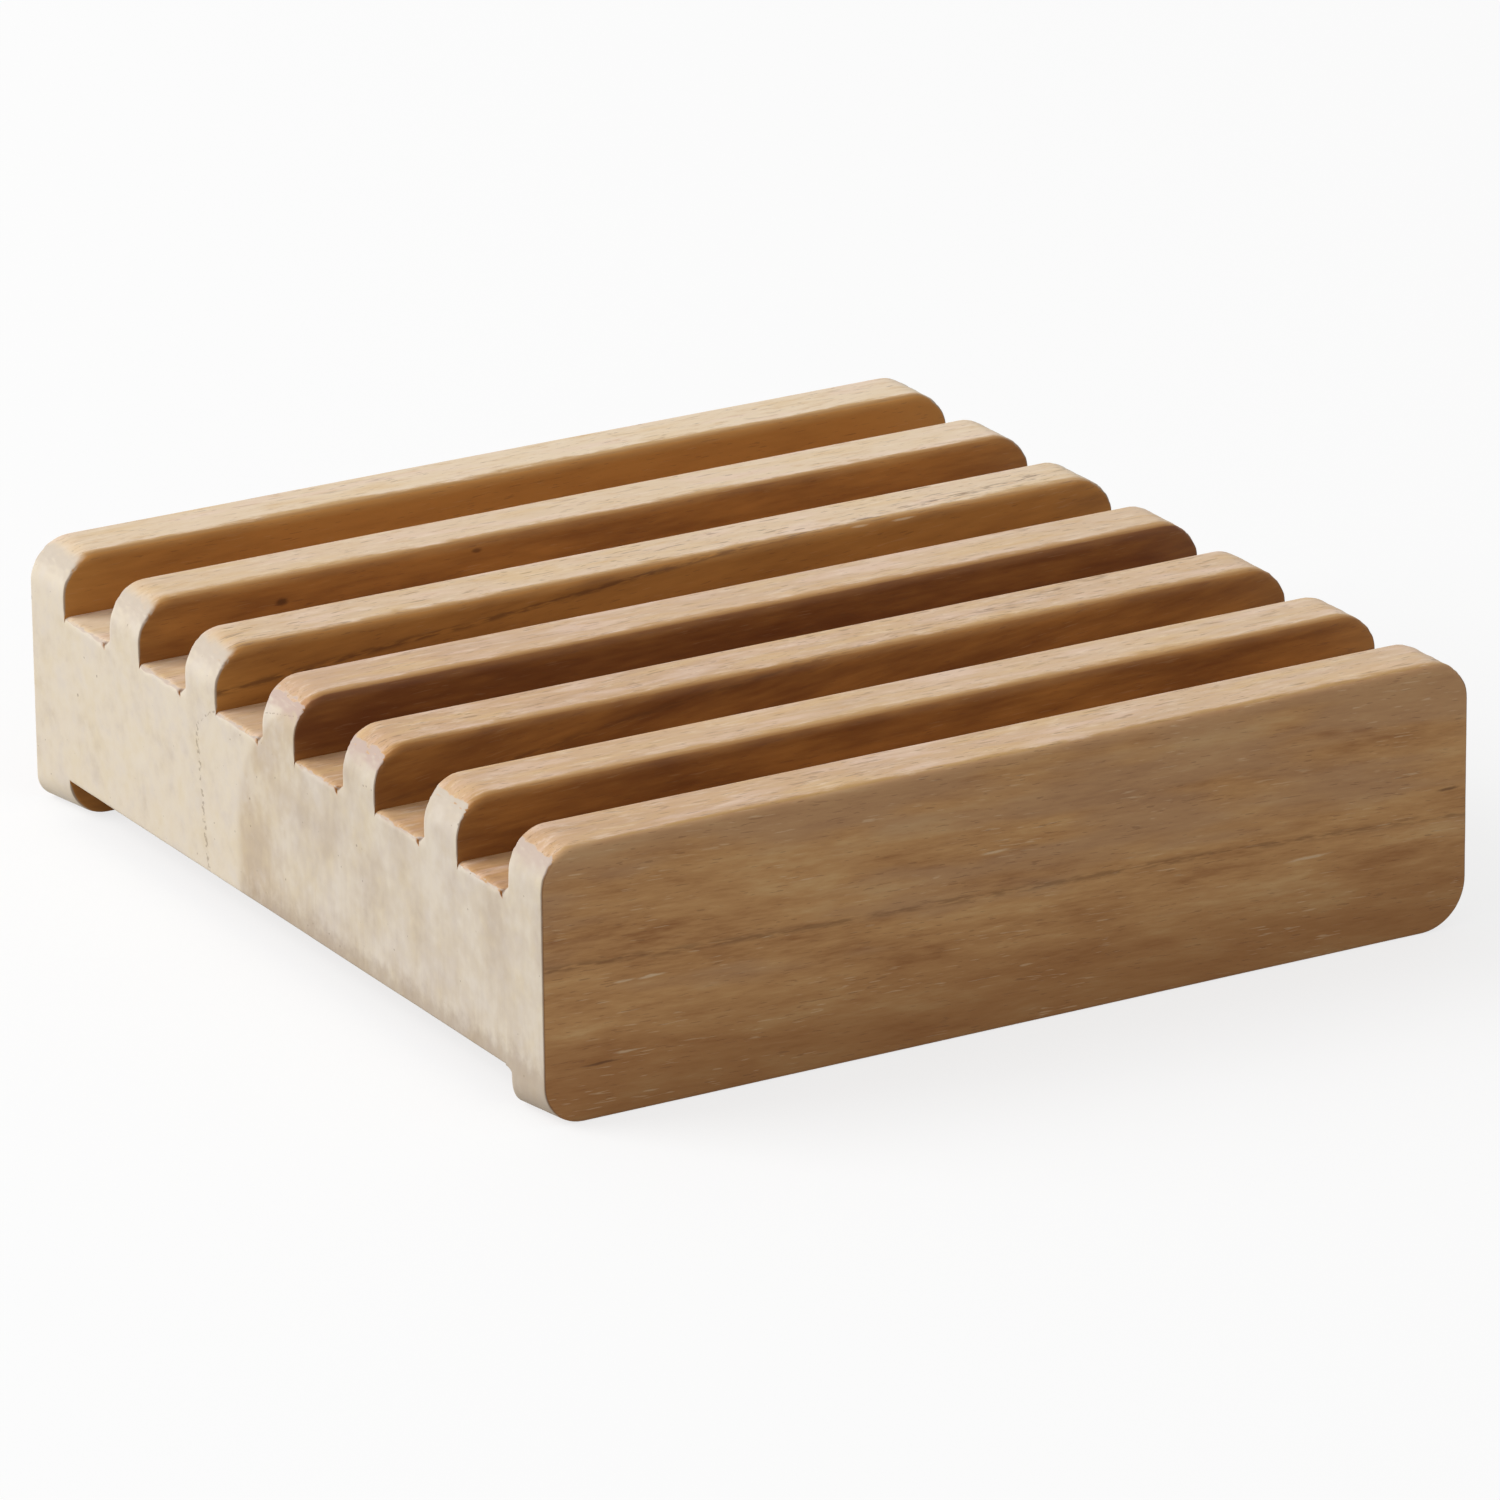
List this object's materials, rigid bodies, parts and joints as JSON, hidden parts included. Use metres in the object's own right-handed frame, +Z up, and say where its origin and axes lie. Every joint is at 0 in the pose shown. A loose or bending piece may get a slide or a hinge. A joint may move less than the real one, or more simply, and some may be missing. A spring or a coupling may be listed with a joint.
{
  "type": "soap dish",
  "caption": "Nearly square wooden soap dish: upright slats with rounded ends and lower spacer strips between them, leaving drain grooves; the outer slats reach down as feet.",
  "frame": {"origin": "middle of the footprint, on the surface that the feet stand on", "axes": "+Z up, +X along the slats and grooves, +Y from the front foot slat to the rear foot slat"},
  "size_m": [0.093, 0.0956, 0.025],
  "materials": {
    "slat_wood": "sanded teak-like hardwood, satin to matt",
    "spacer_wood": "sanded teak-like hardwood, satin to matt"
  },
  "bodies": {
    "root": {"front_foot_slat": "slat_wood", "inner_slat_1": "slat_wood", "inner_slat_2": "slat_wood", "inner_slat_3": "slat_wood", "inner_slat_4": "slat_wood", "inner_slat_5": "slat_wood", "rear_foot_slat": "slat_wood", "spacer_strip_1": "spacer_wood", "spacer_strip_2": "spacer_wood", "spacer_strip_3": "spacer_wood", "spacer_strip_4": "spacer_wood", "spacer_strip_5": "spacer_wood", "spacer_strip_6": "spacer_wood"}
  },
  "joints": []
}
